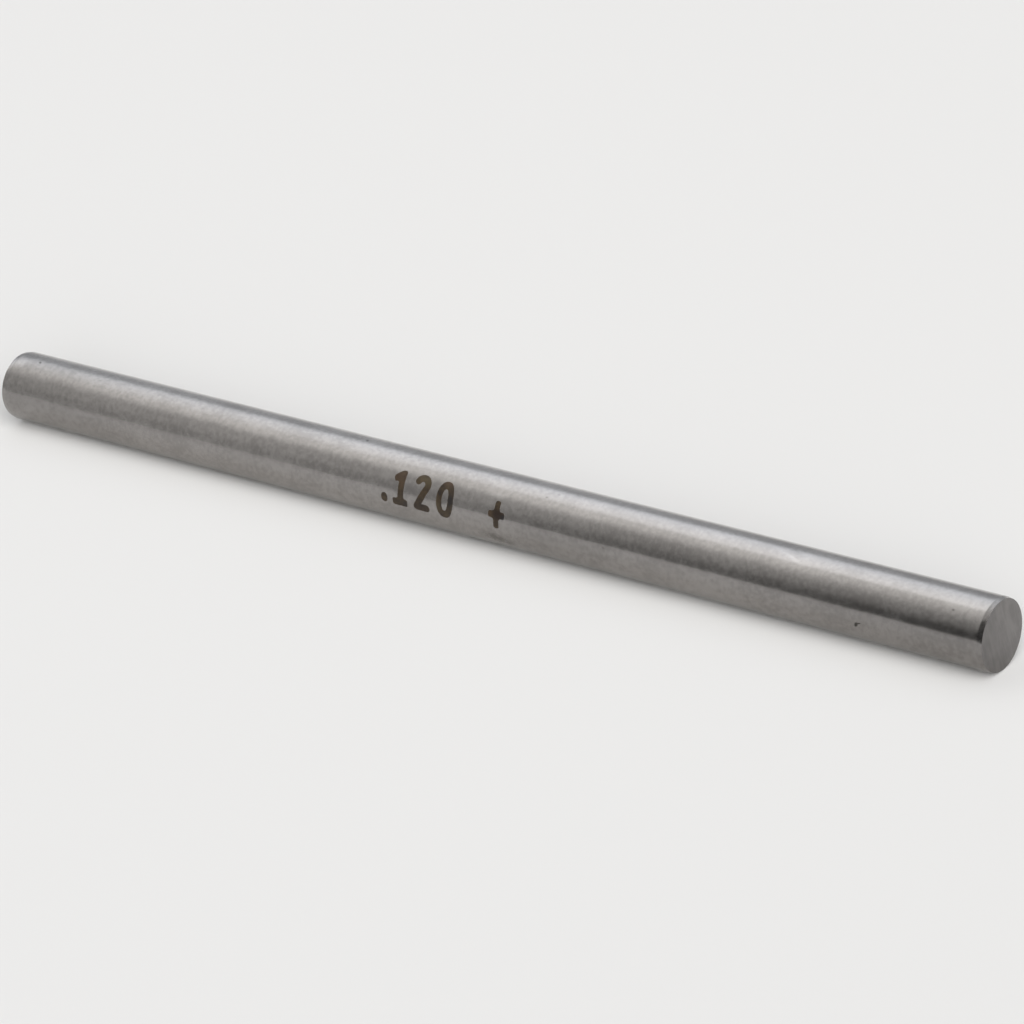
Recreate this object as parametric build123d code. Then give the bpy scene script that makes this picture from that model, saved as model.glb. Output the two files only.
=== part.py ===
from build123d import *

import os

# Plain plug gauge: a straight hardened steel pin that tests the size of a drilled or reamed hole.
# It is one solid cylinder, ground to size from end to end, with square ends. Either end can gauge, so
# both have their sharp corner broken by a shallow lead, which lets the pin enter a hole of its own size.
# The pin lies as it comes to rest: its axis runs along X, it touches the table along one line, and the
# origin is on the table under its middle.

# Driving dimensions: the diameter is 0.120 inch, as the pin is marked, and the length is 2 inches
gauge_diameter = 3.048
gauge_length = 50.8
lead_length = 0.20
lead_depth = 0.04

gauge_radius = gauge_diameter / 2
half_length = gauge_length / 2


def half_section() -> Face:
    """Half of the pin's lengthwise section, from its axis out to the gauging surface."""
    outline = Polyline(
        (-half_length, 0),
        (-half_length, gauge_radius - lead_depth),
        (-half_length + lead_length, gauge_radius),
        (half_length - lead_length, gauge_radius),
        (half_length, gauge_radius - lead_depth),
        (half_length, 0),
        close=True,
    )
    return make_face(outline)


def gauge_pin() -> Part:
    """The section turned once about the pin's axis, and raised to lie on the table."""
    turned = revolve(half_section(), Axis.X)
    return Pos(Z=gauge_radius) * turned


os.makedirs("parts", exist_ok=True)
export_step(gauge_pin(), "parts/gauge_pin.step")
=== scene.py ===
from collections import namedtuple
from math import atan2, cos, pi, radians, sin

import bmesh
import bpy
from mathutils import Matrix, Vector


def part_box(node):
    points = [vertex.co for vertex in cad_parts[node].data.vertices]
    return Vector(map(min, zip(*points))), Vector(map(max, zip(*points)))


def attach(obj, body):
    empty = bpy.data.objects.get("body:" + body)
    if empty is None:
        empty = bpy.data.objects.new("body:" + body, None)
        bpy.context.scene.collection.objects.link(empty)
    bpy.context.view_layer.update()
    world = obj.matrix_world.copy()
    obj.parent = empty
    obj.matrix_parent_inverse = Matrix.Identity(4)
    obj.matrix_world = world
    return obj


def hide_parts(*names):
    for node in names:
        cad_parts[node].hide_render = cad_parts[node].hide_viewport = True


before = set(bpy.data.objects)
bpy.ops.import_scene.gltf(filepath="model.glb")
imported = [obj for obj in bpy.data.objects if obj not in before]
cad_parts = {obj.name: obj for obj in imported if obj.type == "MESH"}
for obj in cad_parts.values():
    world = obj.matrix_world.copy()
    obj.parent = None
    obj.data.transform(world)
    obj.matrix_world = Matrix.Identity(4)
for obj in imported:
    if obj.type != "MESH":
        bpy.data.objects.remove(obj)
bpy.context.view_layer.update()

# Pin gauge: a ground steel pin that lies on a pale table, with its size marked on its side.

MM = 0.001
MICRON = 0.000001

# The pin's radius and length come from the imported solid. Its leads are as long and as deep as the part's.
pin_low, pin_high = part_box("gauge_pin")
pin_radius = (pin_high[1] - pin_low[1]) / 2
half_length = (pin_high[0] - pin_low[0]) / 2
lead_length = 0.20 * MM
lead_depth = 0.04 * MM

# How finely the shapes are made, and how deep the steel's relief is
pin_sides = 256
merge_distance = 0.05 * MICRON
relief_depth = 3 * MICRON

# The number's foot line is this far round from the pin's top, towards the reader. The mark stands a hair
# proud of the steel, and its stain fades over a narrow band inside its outline.
mark_line = 2.375 * MM
mark_proud = 1.5 * MICRON
ink_fade = 0.035 * MM

# The nick that the pin has picked up near its right end: its places along and round the pin, and its depth
nick_place = 19.66 * MM
nick_round = 2.57 * MM
nick_depth = 0.02 * MM


# Shader trees

class Signal:
    """A number that varies over a surface. Arithmetic on it adds Math nodes to its tree."""

    def __init__(self, bench, socket):
        self.bench = bench
        self.socket = socket

    def __add__(self, other):
        return self.bench.math("ADD", self, other)

    def __sub__(self, other):
        return self.bench.math("SUBTRACT", self, other)

    def __mul__(self, other):
        return self.bench.math("MULTIPLY", self, other)

    def __radd__(self, other):
        return self.bench.math("ADD", other, self)

    def __rsub__(self, other):
        return self.bench.math("SUBTRACT", other, self)

    def __rmul__(self, other):
        return self.bench.math("MULTIPLY", other, self)


class Bench:
    """A shader tree that is filled by plain calls."""

    def __init__(self, tree):
        self.tree = tree
        self.tree.nodes.clear()

    def node(self, kind, settings=None, inputs=None):
        """Adds a node: its settings are set first, and then its sockets get values or links."""
        made = self.tree.nodes.new(kind)
        for name, value in (settings or {}).items():
            if name == "stops":
                self.set_stops(made.color_ramp, value)
            else:
                setattr(made, name, value)
        for name, value in (inputs or {}).items():
            if isinstance(value, Signal):
                self.tree.links.new(value.socket, made.inputs[name])
            else:
                made.inputs[name].default_value = value
        return made

    def set_stops(self, ramp, stops):
        """Gives a colour ramp its stops, each a place and a colour."""
        while len(ramp.elements) > 1:
            ramp.elements.remove(ramp.elements[0])
        for number, (place, colour) in enumerate(stops):
            stop = ramp.elements[0] if number == 0 else ramp.elements.new(place)
            stop.position = place
            stop.color = (*colour, 1)

    def out(self, node, name=0):
        """What comes out of a node, by the socket's name or number."""
        return Signal(self, node.outputs[name])

    def math(self, operation, *values):
        """One step of arithmetic on one or two values."""
        return self.out(self.node("ShaderNodeMath", {"operation": operation}, dict(enumerate(values))))

    def between(self, value, low, high, to_low=0.0, to_high=1.0):
        """Turns a value's run from low to high into a soft step between two levels."""
        inputs = {"Value": value, "From Min": low, "From Max": high, "To Min": to_low, "To Max": to_high}
        return self.out(self.node("ShaderNodeMapRange", {"interpolation_type": "SMOOTHSTEP"}, inputs))

    def noise(self, vector, scale=1.0, detail=2.0, roughness=0.5):
        """Uneven values round a half, at so many features to the millimetre."""
        inputs = {"Vector": vector, "Scale": scale, "Detail": detail, "Roughness": roughness}
        return self.out(self.node("ShaderNodeTexNoise", None, inputs))

    def ramp(self, value, stops):
        """The colour that a value has on a scale of stops."""
        return self.out(self.node("ShaderNodeValToRGB", {"stops": stops}, {"Fac": value}))

    def mix(self, factor, first, second):
        """Mixes two colours. The node's sockets for colours come after those for other kinds of value."""
        first_colour = 6
        second_colour = 7
        mixed_colour = 2
        inputs = {0: factor, first_colour: first, second_colour: second}
        return self.out(self.node("ShaderNodeMix", {"data_type": "RGBA"}, inputs), mixed_colour)

    def stretch(self, vector, factors):
        """Multiplies a vector's three parts, each by its own factor."""
        settings = {"operation": "MULTIPLY"}
        return self.out(self.node("ShaderNodeVectorMath", settings, {0: vector, 1: factors}))

    def relief(self, height):
        """A surface's normal, bent by fine relief."""
        inputs = {"Height": height, "Distance": relief_depth, "Strength": 1.0}
        return self.out(self.node("ShaderNodeBump", None, inputs))

    def surface(self, inputs):
        """Ends a material's tree with its one surface."""
        finish = self.node("ShaderNodeBsdfPrincipled", None, inputs)
        self.node("ShaderNodeOutputMaterial", None, {"Surface": self.out(finish)})


def new_bench(name):
    """A new material and the bench that fills its tree."""
    material = bpy.data.materials.new(name)
    material.use_nodes = True
    return material, Bench(material.node_tree)


# A soft oval on the pin's side. Its place, length and width are in millimetres, and its turn is in degrees.
# Softness says how wide its edge is for its size, and strength says how much it covers inside.
Spot = namedtuple("Spot", "along around length width turn softness strength", defaults=(0, 0.5, 1.0))

# Spots of one kind and their colour, with the share of it that shows and the most that they cover together
Mark = namedtuple("Mark", "spots colour share most", defaults=(1.0, 1.0))


class PinPlaces:
    """Places on the pin, in millimetres: along it from its middle, and around it from its top."""

    def __init__(self, bench):
        raw = bench.out(bench.node("ShaderNodeTexCoord"), "Object")
        centring = {"Location": (0, 0, -pin_radius / MM), "Scale": (1 / MM, 1 / MM, 1 / MM)}
        self.bench = bench
        self.centred = bench.out(bench.node("ShaderNodeMapping", None, {"Vector": raw, **centring}))
        split = bench.node("ShaderNodeSeparateXYZ", None, {"Vector": self.centred})
        self.along = bench.out(split, "X")
        self.across = bench.out(split, "Y")
        up = bench.out(split, "Z")
        self.around = bench.math("ARCTAN2", 0 - self.across, up) * (pin_radius / MM)

    def cover(self, spot):
        """How much a spot covers: its strength inside it, and 0 outside."""
        run = self.along - spot.along
        rise = self.around - spot.around
        turn = radians(spot.turn)
        lengthwise = (run * cos(turn) + rise * sin(turn)) * (2 / spot.length)
        crosswise = (rise * cos(turn) - run * sin(turn)) * (2 / spot.width)
        distance = self.bench.math("SQRT", lengthwise * lengthwise + crosswise * crosswise)
        full = 1 - spot.softness
        none = 1 + spot.softness
        inside = self.bench.between(distance, full, none, to_low=1.0, to_high=0.0)
        return inside * spot.strength

    def marked(self, colour, marks):
        """A colour with marks laid over it, one after another."""
        for mark in marks:
            cover = sum(self.cover(spot) for spot in mark.spots)
            shown = self.bench.math("MINIMUM", cover, mark.most) * mark.share
            colour = self.bench.mix(shown, colour, mark.colour)
        return colour


# Colours

black = (0.0, 0.0, 0.0, 1)
pale_steel = (0.396, 0.374, 0.355, 1)
deep_steel = (0.326, 0.308, 0.293, 1)
# The end face's steel colours, darkened below the side's as painted shade
shaded_pale_face = (0.293, 0.279, 0.270, 1)
shaded_deep_face = (0.237, 0.226, 0.220, 1)
rubbed_steel = (0.60, 0.58, 0.56, 1)
# A pale steel colour for the painted highlight on the far corner
highlight_steel = (0.72, 0.70, 0.68, 1)
speck_brown = (0.070, 0.062, 0.055, 1)
nick_brown = (0.045, 0.041, 0.036, 1)
smudge_grey = (0.16, 0.15, 0.135, 1)
scratch_grey = (0.12, 0.11, 0.10, 1)
table_white = (0.680, 0.672, 0.660, 1)

# The mark's stain, from where it took most to where it took least, and the tints that it has in places
stain_stops = [
    (0.32, (0.014, 0.012, 0.010)),
    (0.44, (0.038, 0.025, 0.014)),
    (0.55, (0.058, 0.040, 0.021)),
    (0.68, (0.080, 0.051, 0.029)),
]
stain_red = (0.084, 0.050, 0.030, 1)
stain_olive = (0.088, 0.069, 0.036, 1)
stain_black = (0.016, 0.016, 0.018, 1)
stain_burnt = (0.024, 0.014, 0.009, 1)


# Small things that the pin has picked up in use, and a few patches of painted shade and painted highlight.
# The list below lays them on, one after another.

smudge = Spot(2.00, 2.98, length=1.50, width=0.40, turn=8, softness=0.7)
specks = [
    Spot(-23.98, 0.22, length=0.16, width=0.09, turn=35),
    Spot(-5.73, -0.10, length=0.18, width=0.10, turn=40),
    Spot(23.85, 0.98, length=0.12, width=0.09, strength=0.5),
    Spot(4.58, 0.30, length=0.12, width=0.08, strength=0.25),
    Spot(4.15, 0.58, length=0.12, width=0.08, strength=0.25),
    Spot(7.53, 2.07, length=0.12, width=0.09, strength=0.3),
]
nick_and_its_tail = [
    Spot(nick_place / MM, nick_round / MM, length=0.23, width=0.13, turn=-60),
    Spot(nick_place / MM + 0.12, nick_round / MM - 0.08, length=0.20, width=0.06, turn=-15),
]
# Broad soft patches of painted shade on the lower side
painted_shade_patches = [
    Spot(5.30, 2.50, length=5.0, width=1.7, softness=0.8),
    Spot(-22.5, 2.60, length=7.0, width=2.0, softness=0.8),
]
faint_lines = [
    Spot(6.60, 1.90, length=1.60, width=0.16, softness=0.8),
    Spot(4.60, 1.86, length=1.10, width=0.16, softness=0.8),
]
smear = Spot(1.90, 1.06, length=0.70, width=0.20, softness=0.8)
# A painted highlight on the far end's upper corner
painted_corner_highlight = Spot(-24.95, 0.52, length=0.70, width=0.44, turn=-25, softness=0.9)
scratch = Spot(11.15, -0.65, length=0.06, width=0.55, turn=15, softness=0.7)

# A light rub mark that curves down across the bright side, with a patch of painted shade above it
rub = [
    Spot(15.45, 0.26, length=0.90, width=0.20, turn=18, softness=0.9, strength=0.5),
    Spot(16.24, 0.53, length=0.95, width=0.15, turn=20, softness=0.8),
]
painted_shade_above_rub = Spot(16.12, 0.18, length=0.75, width=0.30, turn=25, softness=0.8)

wear_and_painted_light_marks = [
    Mark(specks, speck_brown, most=0.60),
    Mark(nick_and_its_tail, nick_brown, most=0.85),
    Mark([smudge], smudge_grey, share=0.65),
    Mark(painted_shade_patches, black, share=0.09),
    Mark(faint_lines, scratch_grey, share=0.16),
    Mark([smear], rubbed_steel, share=0.22),
    Mark([painted_corner_highlight], highlight_steel, share=0.24),
    Mark([scratch], scratch_grey, share=0.30),
    Mark(rub, rubbed_steel, share=0.16),
    Mark([painted_shade_above_rub], black, share=0.12),
]

# The stain took unevenly: redder on the 1, olive on the 2 and the 0, and nearly black in a few places
stain_tints = [
    Mark([Spot(-3.05, 1.30, length=0.70, width=0.60, softness=0.6)], stain_red, share=0.4),
    Mark([Spot(-1.75, 1.20, length=0.70, width=0.50, softness=0.6)], stain_olive, share=0.5),
    Mark([Spot(-0.62, 1.03, length=0.60, width=0.30, softness=0.6)], stain_red, share=0.5),
    Mark([Spot(-0.98, 2.15, length=0.30, width=0.50, softness=0.6)], stain_olive, share=0.35),
    Mark([Spot(-0.34, 1.75, length=0.28, width=0.55, softness=0.6)], stain_black, share=0.7),
    Mark([Spot(-2.62, 2.42, length=0.40, width=0.30, softness=0.6)], stain_black, share=0.5),
    Mark([Spot(-1.85, 2.36, length=0.80, width=0.34, softness=0.6)], stain_burnt, share=0.5),
    Mark([Spot(2.14, 1.84, length=0.52, width=0.46, softness=0.6)], stain_burnt),
    Mark([Spot(1.72, 1.82, length=0.26, width=0.34, softness=0.6)], stain_red, share=0.4),
    Mark([Spot(2.42, 1.92, length=0.24, width=0.30, softness=0.6)], stain_black, share=0.8),
]


# Finishes

def ground_texture(bench, places):
    """What grinding and handling leave on the pin's side: its tones, its grain and its relief."""
    # Grinding leaves short fine lines round the pin, close together along it
    lines = bench.noise(bench.stretch(places.centred, (4.2, 0.9, 0.9)), detail=4.0, roughness=0.65)
    broad_lines = bench.noise(bench.stretch(places.centred, (1.3, 0.5, 0.5)))
    fine_lines = bench.noise(bench.stretch(places.centred, (8.0, 3.0, 3.0)), roughness=0.6)
    grain = bench.noise(places.centred, scale=4.6, detail=3.0, roughness=0.70)
    haze = bench.noise(places.centred, scale=0.5)
    tone = 0.10 * lines + 0.54 * grain + 0.36 * haze

    # Handling has polished the upper right of the pin, and left its lower side more mottled
    polished = bench.between(places.along, -5.0, 8.0) * bench.between(places.around, 1.0, 0.5)
    lower = bench.between(places.around, 1.0, 1.9)
    tone = tone - 0.25 * polished * (tone - 0.5) + lower * (0.45 * (grain - 0.5) + 0.15 * (lines - 0.5))

    # The leads at both ends were broken by hand, and are coarser than the side
    lead_starts = (half_length - lead_length) / MM
    lead = bench.between(bench.math("ABSOLUTE", places.along), lead_starts, half_length / MM)
    height = 0.05 * lines + 0.12 * grain + 0.1 * broad_lines + lead * fine_lines * 4
    return tone, grain, height


def wear_and_painted_light_colour(bench, places, tone):
    """The steel's colour, with what it has picked up in use, and with painted shade and painted highlight
    laid on.
    """
    deepest = 0.36
    palest = 0.64
    colour = bench.mix(bench.between(tone, deepest, palest), deep_steel, pale_steel)

    # Painted shade: the steel's colour is darkened towards its ends, and most at the right
    painted_end_shade = 0.09 * bench.between(places.along, -20.0, 25.0)
    painted_end_shade = painted_end_shade + 0.10 * bench.between(places.along, 13.0, 25.0)
    painted_end_shade = painted_end_shade + 0.09 * bench.between(places.along, -17.0, -25.0)
    return places.marked(bench.mix(painted_end_shade, colour, black), wear_and_painted_light_marks)


def worn_roughness(bench, places, grain):
    """How matt the steel is: more so in the smudge, and a little more on the left half than on the right."""
    lapped = 0.20
    left = bench.between(places.along, 8.0, -18.0)
    return lapped + 0.03 * (grain - 0.5) + 0.10 * places.cover(smudge) + 0.03 * left


def ground_side():
    """Steel, ground round and lapped."""
    material, bench = new_bench("ground side")
    places = PinPlaces(bench)
    tone, grain, height = ground_texture(bench, places)

    # A thin uneven film of old oil scatters a little light into the dark reflections
    usual_oil = 0.16
    uneven_oil = 3.2
    oil_roughness = 0.55
    oil = bench.math("MAXIMUM", usual_oil + uneven_oil * (tone - 0.5), 0.0)
    bench.surface({
        "Base Color": wear_and_painted_light_colour(bench, places, tone),
        "Metallic": 1.0,
        "Roughness": worn_roughness(bench, places, grain),
        "Normal": bench.relief(height),
        "Coat Weight": oil,
        "Coat Roughness": oil_roughness,
    })
    return material


def faced_end():
    """The flat end, ground straight across in one direction and more matt than the side. Its colour is
    darkened below the side's as painted shade.
    """
    material, bench = new_bench("faced end")
    places = PinPlaces(bench)
    lay_angle = radians(-12.5)
    turned = bench.node(
        "ShaderNodeVectorRotate",
        {"rotation_type": "X_AXIS"},
        {"Vector": places.centred, "Angle": lay_angle},
    )
    lay = bench.noise(bench.stretch(bench.out(turned), (1.0, 7.0, 0.9)), detail=4.0, roughness=0.6)
    haze = bench.noise(places.centred, scale=1.6)
    tone = 0.6 * lay + 0.4 * haze
    deepest = 0.35
    palest = 0.65
    colour = bench.mix(bench.between(tone, deepest, palest), shaded_deep_face, shaded_pale_face)

    # Painted shade: the side of the face towards the reader is darkened a little
    painted_face_shade = 0.12 * bench.between(places.across, 0.8, -1.4)
    faced = 0.38
    bench.surface({
        "Base Color": bench.mix(painted_face_shade, colour, black),
        "Metallic": 1.0,
        "Roughness": faced + 0.10 * (lay - 0.5),
        "Normal": bench.relief(lay),
    })
    return material


def etched_number():
    """The mark: a dark brown stain etched into the steel, which fades out at its edges."""
    material, bench = new_bench("etched number")
    places = PinPlaces(bench)
    tone, grain, height = ground_texture(bench, places)
    patches = bench.noise(places.centred, scale=2.1, detail=3.0, roughness=0.65)
    speckle = bench.noise(places.centred, scale=8.0, detail=3.0, roughness=0.65)
    stain = places.marked(bench.ramp(0.55 * patches + 0.45 * speckle, stain_stops), stain_tints)

    # The stain fades raggedly over the narrow band inside its outline
    raggedness = 1.1
    stain_begins = 0.05
    stain_full = 0.70
    ink = bench.out(bench.node("ShaderNodeAttribute", {"attribute_name": "ink"}), "Fac")
    ragged = bench.noise(places.centred, scale=14.0, detail=3.0, roughness=0.6)
    cover = bench.between(ink + raggedness * (ragged - 0.5), stain_begins, stain_full)

    # Where it covers the steel, the stain takes most of its metal shine and is more matt
    dulled = 0.75
    more_matt = 0.22
    bench.surface({
        "Base Color": bench.mix(cover, wear_and_painted_light_colour(bench, places, tone), stain),
        "Metallic": 1.0 - dulled * cover,
        "Roughness": worn_roughness(bench, places, grain) + more_matt * cover,
        "Normal": bench.relief(height),
    })
    return material


def pale_table():
    """The table: plain, matt and pale."""
    material, bench = new_bench("pale table")
    bench.surface({
        "Base Color": table_white,
        "Roughness": 0.9,
        "Diffuse Roughness": 1.0,
        "Specular IOR Level": 0.1,
    })
    return material


# Shapes

def made_object(name, bm, materials):
    """Turns a finished shape into an object whose place is in its mesh."""
    mesh = bpy.data.meshes.new(name)
    bm.to_mesh(mesh)
    bm.free()
    for material in materials:
        mesh.materials.append(material)
    piece = bpy.data.objects.new(name, mesh)
    bpy.context.collection.objects.link(piece)
    return piece


def closed_up(bm):
    """Merges a new shape's doubles, then points its faces outwards."""
    bmesh.ops.remove_doubles(bm, verts=bm.verts, dist=merge_distance)
    bmesh.ops.recalc_face_normals(bm, faces=bm.faces)


def steps_between(start, end, count):
    """Even steps from one value to another, both included."""
    return [start + (end - start) * step / count for step in range(count + 1)]


def half_section():
    """Points of the pin's section from one end's centre to the other's, as places along it and radii."""
    face_radius = pin_radius - lead_depth
    face_steps = 6
    near_corner = 0.12
    beside_lead = 0.05 * MM
    end = [(half_length, radius) for radius in steps_between(0, face_radius, face_steps)]
    end.append((half_length - near_corner * lead_length, face_radius + near_corner * lead_depth))
    end.append((half_length - (1 - near_corner) * lead_length, pin_radius - near_corner * lead_depth))
    end.append((half_length - lead_length, pin_radius))
    end.append((half_length - lead_length - beside_lead, pin_radius))
    start = [(-place, radius) for place, radius in end]

    # The rings stand close together where the nick is pressed in
    last_ring = half_length - 1 * MM
    nick_run = 0.4 * MM
    nick_starts = nick_place - nick_run
    nick_ends = nick_place + nick_run
    left_steps = 52
    nick_steps = 28
    right_steps = 6
    body = steps_between(-last_ring, nick_starts, left_steps)
    body += steps_between(nick_starts, nick_ends, nick_steps)[1:]
    body += steps_between(nick_ends, last_ring, right_steps)[1:]
    return start + [(place, pin_radius) for place in body] + end[::-1]


def press_nick(bm):
    """Pushes in the small nick, where something hard has struck the pin."""
    reach_along = 0.11 * MM
    reach_around = 0.10 * MM
    slant = radians(50)
    slant_reach = 0.75
    cross_reach = 1.35
    for vert in bm.verts:
        across = vert.co.y
        up = vert.co.z - pin_radius
        run = (vert.co.x - nick_place) / reach_along
        rise = (atan2(-across, up) * pin_radius - nick_round) / reach_around
        lengthwise = (run * cos(slant) + rise * sin(slant)) / slant_reach
        crosswise = (rise * cos(slant) - run * sin(slant)) / cross_reach
        spread = lengthwise ** 2 + crosswise ** 2
        if spread < 1:
            inward = nick_depth * (1 - spread) / pin_radius
            vert.co.y -= across * inward
            vert.co.z -= up * inward


def turned_pin():
    """The pin, turned in one piece about its axis, fine enough to reflect evenly."""
    bm = bmesh.new()
    chain = [bm.verts.new((place, 0, pin_radius + radius)) for place, radius in half_section()]
    edges = [bm.edges.new(pair) for pair in zip(chain, chain[1:])]
    bmesh.ops.spin(
        bm,
        geom=chain + edges,
        cent=(0, 0, pin_radius),
        axis=(1, 0, 0),
        angle=2 * pi,
        steps=pin_sides,
        use_merge=True,
    )
    closed_up(bm)
    hard_edge = radians(30)
    for edge in bm.edges:
        edge.smooth = edge.calc_face_angle(0) < hard_edge
    press_nick(bm)
    square_on = 0.999
    for face in bm.faces:
        flat_end = abs(face.normal.x) > square_on
        face.smooth = not flat_end
        face.material_index = 1 if flat_end else 0
    return made_object("ground_pin", bm, [ground_side(), faced_end()])


# The mark's letters are drawn flat, in millimetres: across from each one's middle, and up from the foot line

def arc(centre, radius, start, end, steps=14):
    """Points on a round stretch, from one angle to another in degrees."""
    angles = [radians(angle) for angle in steps_between(start, end, steps)]
    return [(centre[0] + radius * cos(angle), centre[1] + radius * sin(angle)) for angle in angles]


def oval(width, height):
    """Points round an oval that is a little fuller than an ellipse."""
    fullness = 2.3
    steps = 48
    points = []
    for step in range(steps):
        angle = 2 * pi * step / steps
        reach = (abs(cos(angle)) ** fullness + abs(sin(angle)) ** fullness) ** (-1 / fullness)
        points.append((width / 2 * reach * cos(angle), height / 2 * reach * sin(angle)))
    return points


def pen_stroke(path, width):
    """The outline that a round pen leaves along a path."""
    points = [Vector(point) for point in path]
    half = width / 2
    sharp_turn = radians(20)
    outline = []
    for way in (1, -1):
        walk = points[::way]
        headings = [(after - before).normalized() for before, after in zip(walk, walk[1:])]
        for number, point in enumerate(walk[1:-1], 1):
            before = headings[number - 1]
            after = headings[number]
            turn = atan2(before.cross(after), before.dot(after))
            start = atan2(before.y, before.x) - pi / 2
            if turn > sharp_turn:
                outline += arc(point, half, start * 180 / pi, (start + turn) * 180 / pi, steps=8)
            else:
                middle = start + turn / 2
                reach = half / cos(turn / 2)
                outline.append((point.x + reach * cos(middle), point.y + reach * sin(middle)))
        last = headings[-1]
        start = (atan2(last.y, last.x) - pi / 2) * 180 / pi
        outline += arc(walk[-1], half, start, start + 180, steps=10)
    return outline


def figure_one():
    """The outline of a 1, and how far its corners are rounded."""
    stem = 0.165
    serif = 0.175
    rounding = 0.10
    outline = [
        (stem, 1.40), (-0.09, 1.40), (-0.47, 1.10), (-0.36, 0.83), (-stem, 0.90), (-stem, serif),
        (-0.43, serif), (-0.43, -serif), (0.37, -serif), (0.37, serif), (stem, serif),
    ]
    return outline, rounding


def figure_two():
    """The outline of a 2, which a round pen has rounded already."""
    pen_width = 0.34
    bowl = arc((0, 0.99), 0.27, 155, -30)
    foot = [(-0.22, 0.01), (0.30, 0.0)]
    return pen_stroke(bowl + foot, pen_width), 0


def plus_sign():
    """The outline of a plus sign, and how far its corners are rounded. Its level bar is a little thicker."""
    half_upright = 0.145
    half_bar = 1.1 * half_upright
    reach = 0.43
    rise = 0.60
    rounding = 0.11
    corner = [(half_upright, rise), (half_upright, half_bar), (reach, half_bar)]
    outline = []
    for quarter, (turn_x, turn_y) in enumerate([(1, 1), (1, -1), (-1, -1), (-1, 1)]):
        placed = [(x * turn_x, y * turn_y) for x, y in corner]
        outline += placed if quarter % 2 == 0 else placed[::-1]
    return outline, rounding


def flat_figure(bm, outline, rounding, opening=None):
    """One letter's flat face, with its corners rounded and an opening through it where it has one."""
    loop = [bm.verts.new((x * MM, y * MM, 0)) for x, y in outline]
    if opening:
        inner = [bm.verts.new((x * MM, y * MM, 0)) for x, y in opening]
        edges = [bm.edges.new(pair) for ring in (loop, inner) for pair in zip(ring, ring[1:] + ring[:1])]
        bmesh.ops.bridge_loops(bm, edges=edges)
        return
    face = bm.faces.new(loop)
    if rounding:
        bmesh.ops.bevel(
            bm, geom=list(face.verts), offset=rounding * MM, segments=5, profile=0.5,
            affect="VERTICES", material=-1,
        )


def faded_rim(bm):
    """Adds a narrow band inside the outline, over which the stain fades from full to nothing."""
    full = bm.verts.layers.float.new("ink")
    straight = radians(0.1)
    bmesh.ops.dissolve_limit(bm, angle_limit=straight, verts=bm.verts, edges=bm.edges)
    outer = set(bm.verts)
    bmesh.ops.inset_region(
        bm, faces=bm.faces[:], thickness=ink_fade, use_even_offset=True, use_boundary=True
    )
    for vert in bm.verts:
        vert[full] = 0 if vert in outer else 1


def letter(outline, rounding, across, up=0.0, opening=None):
    """One letter of the mark as a flat shape at its place along the pin."""
    bm = bmesh.new()
    flat_figure(bm, outline, rounding, opening)
    faded_rim(bm)
    bmesh.ops.translate(bm, verts=bm.verts, vec=(across * MM, up * MM, 0))
    return bm


def wrap_round_pin(bm):
    """Rolls a flat shape onto the pin: its foot line lies level along the side that the reader sees."""
    for vert in bm.verts:
        angle = (mark_line - vert.co.y) / pin_radius
        radius = pin_radius + vert.co.z
        vert.co = (vert.co.x, -radius * sin(angle), pin_radius + radius * cos(angle))


def cut_level(bm, lowest, highest, spacing):
    """Cuts a flat shape across at even levels, so that it can bend."""
    level = lowest
    while level < highest:
        geometry = bm.verts[:] + bm.edges[:] + bm.faces[:]
        bmesh.ops.bisect_plane(
            bm, geom=geometry, dist=merge_distance, plane_co=(0, level, 0), plane_no=(0, 1, 0)
        )
        level += spacing


def size_mark():
    """The number .120 and a plus sign, as thin closed shapes that follow the pin's side."""
    point = oval(0.36, 0.45)
    nought = oval(0.90, 1.60)
    nought_opening = oval(0.28, 0.88)
    figures = [
        letter(point, 0, across=-3.78, up=0.06),
        letter(*figure_one(), across=-2.92),
        letter(*figure_two(), across=-1.85),
        letter(nought, 0, across=-0.615, up=0.595, opening=nought_opening),
        letter(*plus_sign(), across=2.07, up=0.53),
    ]
    whole = bmesh.new()
    for figure in figures:
        mesh = bpy.data.meshes.new("figure")
        figure.to_mesh(mesh)
        figure.free()
        whole.from_mesh(mesh)
        bpy.data.meshes.remove(mesh)
    bmesh.ops.triangulate(whole, faces=whole.faces[:])
    cut_level(whole, lowest=-0.3 * MM, highest=1.6 * MM, spacing=0.05 * MM)
    bmesh.ops.recalc_face_normals(whole, faces=whole.faces)
    top = bmesh.ops.extrude_face_region(whole, geom=whole.faces[:])
    raised = [item for item in top["geom"] if isinstance(item, bmesh.types.BMVert)]
    bmesh.ops.translate(whole, verts=whole.verts, vec=(0, 0, -mark_proud))
    bmesh.ops.translate(whole, verts=raised, vec=(0, 0, 2 * mark_proud))
    wrap_round_pin(whole)
    bmesh.ops.recalc_face_normals(whole, faces=whole.faces)
    for face in whole.faces:
        face.smooth = False
    return made_object("size_mark", whole, [etched_number()])


# The studio

def table():
    """A wide flat table under the pin."""
    half_width = 1.5
    bm = bmesh.new()
    bmesh.ops.create_grid(bm, x_segments=1, y_segments=1, size=half_width)
    top = made_object("table", bm, [pale_table()])


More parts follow.
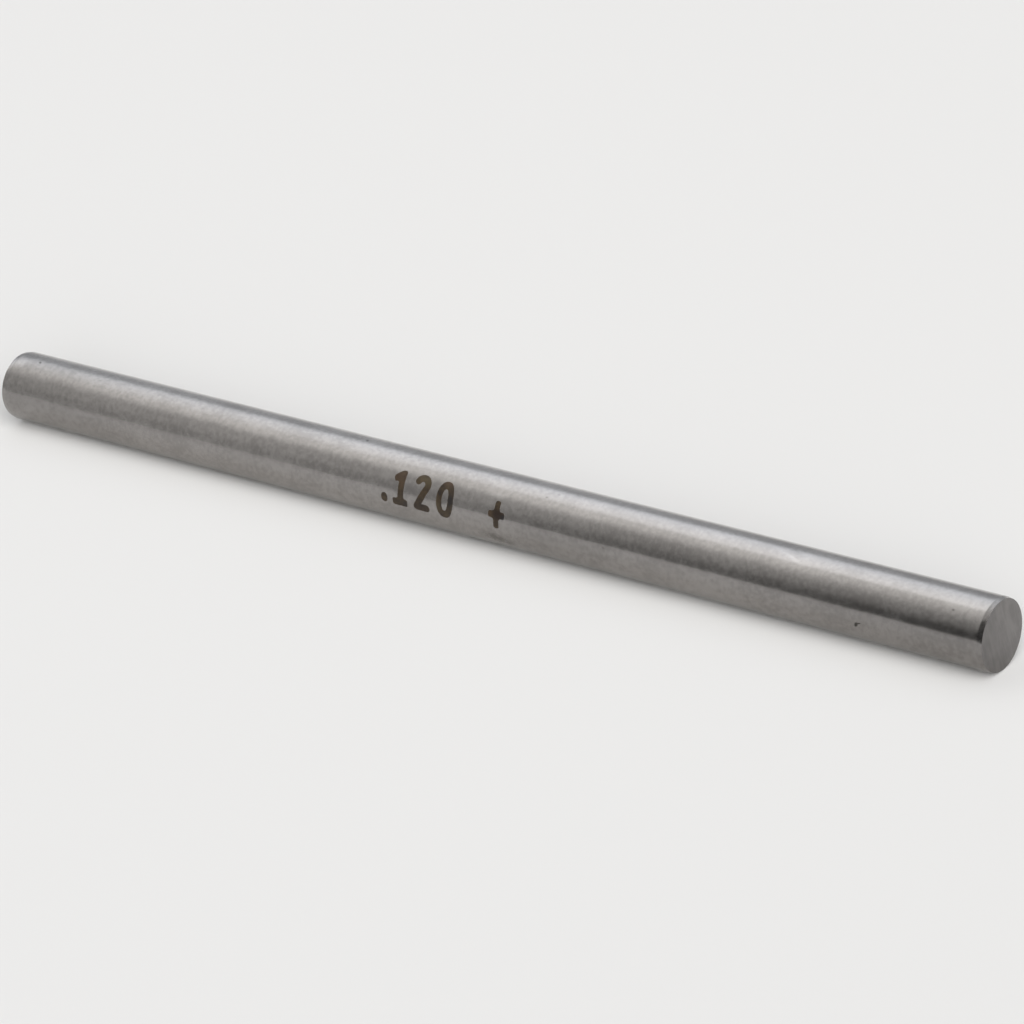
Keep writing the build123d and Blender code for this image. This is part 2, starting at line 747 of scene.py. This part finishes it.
# How bright the sky is round the pin's axis, as degrees from overhead towards the reader and a level. Each
# list holds for one lean of the light along the pin, from its far end on the left to its near end.
sky_far_end = [
    (-180, 0.40), (-90, 0.50), (-56, 0.60), (-44, 1.20), (-34, 1.60), (-6, 1.60), (10, 1.00), (20, 0.60),
    (60, 0.50), (180, 0.40),
]
sky_far_left = [
    (-180, 0.45), (-90, 0.55), (-60, 0.49), (-52, 0.49), (-46, 0.76), (-38, 1.01), (-14, 1.04), (-6, 0.92),
    (6, 0.74), (20, 0.57), (32, 0.48), (44, 0.46), (55, 0.49), (67, 0.43), (78, 0.415), (86, 0.44),
    (92, 0.50), (180, 0.40),
]
sky_left = [
    (-180, 0.50), (-90, 0.50), (-75, 0.59), (-59, 0.51), (-51, 0.73), (-45, 1.32), (-38, 1.66), (-14, 1.60),
    (-6, 1.50), (6, 1.52), (14, 1.42), (20, 1.18), (32, 0.79), (44, 0.81), (55, 0.88), (67, 0.69),
    (85, 0.67), (180, 0.40),
]
sky_middle = [
    (-180, 0.50), (-90, 0.52), (-75, 0.62), (-60, 0.57), (-52, 0.94), (-46, 1.51), (-38, 1.82), (-14, 1.84),
    (-7, 1.60), (-2, 1.21), (6, 1.31), (14, 1.31), (20, 1.10), (32, 0.55), (44, 0.475), (55, 0.41),
    (67, 0.37), (85, 0.32), (180, 0.30),
]
sky_right = [
    (-180, 0.40), (-90, 0.38), (-76, 0.55), (-66, 0.62), (-60, 0.78), (-53, 1.32), (-46, 1.94), (-38, 1.98),
    (-14, 2.28), (-5, 2.40), (-1, 1.54), (6, 1.31), (14, 1.13), (20, 0.91), (32, 0.80), (38, 0.62),
    (44, 0.50), (55, 0.37), (61, 0.23), (67, 0.11), (73, 0.0), (180, 0.0),
]
sky_straight_on = [
    (-180, 0.40), (-90, 0.75), (-56, 0.90), (-46, 1.05), (-38, 1.10), (-10, 0.94), (0, 0.76), (20, 0.62),
    (26, 0.42), (31, 0.06), (85, 0.03), (180, 0.05),
]
sky_near_right = [
    (-180, 0.25), (-90, 0.30), (-50, 0.40), (-20, 0.50), (15, 0.55), (40, 0.45), (85, 0.30), (180, 0.30),
]
sky_peak = 2.4

# Where each list takes over from the one before, as the run of the light's lean along the pin
sky_changes = [
    (sky_far_left, -0.86, -0.74),
    (sky_left, -0.68, -0.60),
    (sky_middle, -0.615, -0.56),
    (sky_right, -0.565, -0.475),
    (sky_straight_on, -0.42, -0.24),
    (sky_near_right, 0.05, 0.25),
]


def sky_colour(bench, around, levels):
    """The sky round the pin, slightly cool high up behind it."""
    plain = Vector((1.0, 1.0, 1.0))
    cool = Vector((0.945, 1.0, 1.085))
    coolest = -50
    cool_spread = 50
    stops = []
    for degrees, level in levels:
        coolness = 1.1 - abs(degrees - coolest) / cool_spread
        tint = plain.lerp(cool, min(1.0, max(0.0, coolness)))
        stops.append(((degrees + 180) / 360, tint * level / sky_peak))
    return bench.ramp(around, stops)


def studio_sky():
    """Soft light from a wide panel above and behind, which falls away towards the reader's right."""
    world = bpy.data.worlds.new("studio")
    world.use_nodes = True
    bpy.context.scene.world = world
    bench = Bench(world.node_tree)
    direction = bench.out(bench.node("ShaderNodeTexCoord"), "Generated")
    split = bench.node("ShaderNodeSeparateXYZ", None, {"Vector": direction})
    along = bench.out(split, "X")
    across = bench.out(split, "Y")
    up = bench.out(split, "Z")

    # Each scale of levels runs once round, from straight below to straight below, with overhead in its middle
    around = bench.math("ARCTAN2", 0 - across, up) * (0.5 / pi) + 0.5
    sky = sky_colour(bench, around, sky_far_end)
    for levels, begins, ends in sky_changes:
        sky = bench.mix(bench.between(along, begins, ends), sky, sky_colour(bench, around, levels))
    light = bench.node("ShaderNodeBackground", None, {"Color": sky, "Strength": sky_peak})
    bench.node("ShaderNodeOutputWorld", None, {"Surface": bench.out(light)})


def front_lamp():
    """A large soft lamp in front on the right. It lights the table right up to the pin."""
    towards = Vector((0.60, -0.50, 0.62)).normalized()
    distance = 1.5
    lamp_width = 2.1
    lamp_power = 25.0
    lamp = bpy.data.lights.new("front lamp", "AREA")
    lamp.shape = "DISK"
    lamp.size = lamp_width
    lamp.energy = lamp_power
    holder = bpy.data.objects.new("front_lamp", lamp)
    holder.location = towards * distance
    holder.rotation_mode = "QUATERNION"
    holder.rotation_quaternion = towards.to_track_quat("Z", "Y")
    bpy.context.collection.objects.link(holder)


def photo_camera():
    """The camera stands where the photograph was taken from, a little tipped to one side."""
    azimuth = radians(39.840)
    elevation = radians(27.760)
    tip = radians(-6.829)
    distance = 200.036 * MM
    aim_right = 1.3367 * MM
    aim_up = -0.6127 * MM
    sensor_width = 36.0
    focal_length = 169.499
    nearest = 10 * MM

    back = Vector((sin(azimuth) * cos(elevation), -cos(azimuth) * cos(elevation), sin(elevation)))
    right = Vector((0, 0, 1)).cross(back).normalized()
    up = back.cross(right)
    place = Vector((0, 0, pin_radius)) + back * distance + right * aim_right + up * aim_up
    tipped_right = right * cos(tip) + up * sin(tip)
    tipped_up = up * cos(tip) - right * sin(tip)
    turn = Matrix((tipped_right, tipped_up, back)).transposed().to_4x4()

    lens = bpy.data.cameras.new("photo camera")
    lens.sensor_width = sensor_width
    lens.lens = focal_length
    lens.clip_start = nearest
    camera = bpy.data.objects.new("photo_camera", lens)
    camera.matrix_world = Matrix.Translation(place) @ turn
    bpy.context.collection.objects.link(camera)
    bpy.context.scene.camera = camera


photo_camera()
studio_sky()
front_lamp()
table()

pin = turned_pin()
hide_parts("gauge_pin")
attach(pin, "root")

mark = size_mark()
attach(mark, "root")

bpy.context.scene.view_settings.view_transform = "Standard"
